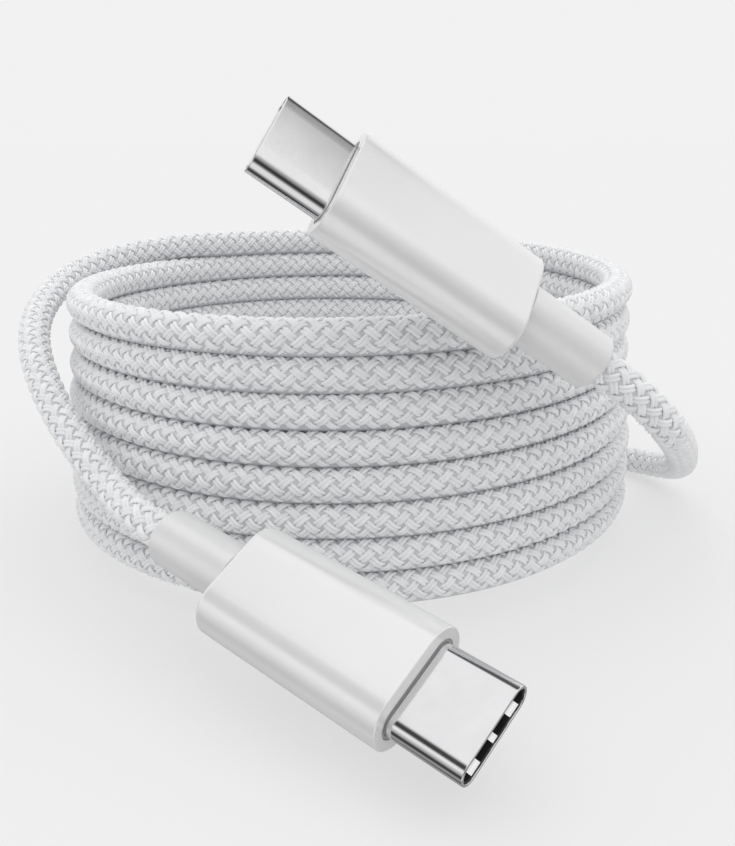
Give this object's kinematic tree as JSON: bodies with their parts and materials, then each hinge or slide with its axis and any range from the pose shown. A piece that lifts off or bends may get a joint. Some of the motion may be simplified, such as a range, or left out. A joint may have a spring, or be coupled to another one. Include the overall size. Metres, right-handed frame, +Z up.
{
  "type": "charging cable",
  "caption": "Braided charging cable wound in a tall coil, with a flat metal-shelled plug, a slim flat-sided housing and a plain strain relief at each end.",
  "frame": {"origin": "middle of the lying cable's footprint, on the surface it lies on", "axes": "+Z up along the coil's axis, -Y towards the plug that lies in front of the coil, +X to the right seen from that side"},
  "size_m": [0.0828, 0.0968, 0.0487],
  "materials": {
    "white_plastic": "satin-gloss moulded white",
    "relief_plastic": "soft satin off-white",
    "braid": "woven white yarn",
    "polished_steel": "polished",
    "spring_steel": "rolled sheet",
    "contact_gold": "plated",
    "black_plastic": "fine matt",
    "board_green": "solder mask",
    "wire_red": "wire insulation",
    "wire_black": "wire insulation",
    "wire_green": "wire insulation",
    "wire_white": "wire insulation",
    "wire_blue": "wire insulation"
  },
  "bodies": {
    "root": {"cord_coil": "braid", "plug_shell_a": "polished_steel", "insulator_a": "black_plastic", "latch_plate_a": "spring_steel", "housing_a": "white_plastic", "collar_a": "relief_plastic", "paddle_board_a": "board_green", "upper_contacts_a": "contact_gold", "upper_ground_spring_a": "spring_steel", "lower_contacts_a": "contact_gold", "lower_ground_spring_a": "spring_steel", "shield_can_a": "spring_steel", "jacket_end_a": "braid", "crimp_ring_a": "spring_steel", "strain_relief_a": "relief_plastic", "vbus_wire_a": "wire_red", "ground_wire_a": "wire_black", "data_plus_wire_a": "wire_green", "data_minus_wire_a": "wire_white", "cc_wire_a": "wire_blue", "marker_chip_a": "black_plastic", "plug_shell_b": "polished_steel", "insulator_b": "black_plastic", "latch_plate_b": "spring_steel", "housing_b": "white_plastic", "collar_b": "relief_plastic", "paddle_board_b": "board_green", "upper_contacts_b": "contact_gold", "upper_ground_spring_b": "spring_steel", "lower_contacts_b": "contact_gold", "lower_ground_spring_b": "spring_steel", "shield_can_b": "spring_steel", "jacket_end_b": "braid", "crimp_ring_b": "spring_steel", "strain_relief_b": "relief_plastic", "vbus_wire_b": "wire_red", "ground_wire_b": "wire_black", "data_plus_wire_b": "wire_green", "data_minus_wire_b": "wire_white", "cc_wire_b": "wire_blue", "cord_tail_a": "braid", "cord_tail_b": "braid"}
  },
  "joints": []
}
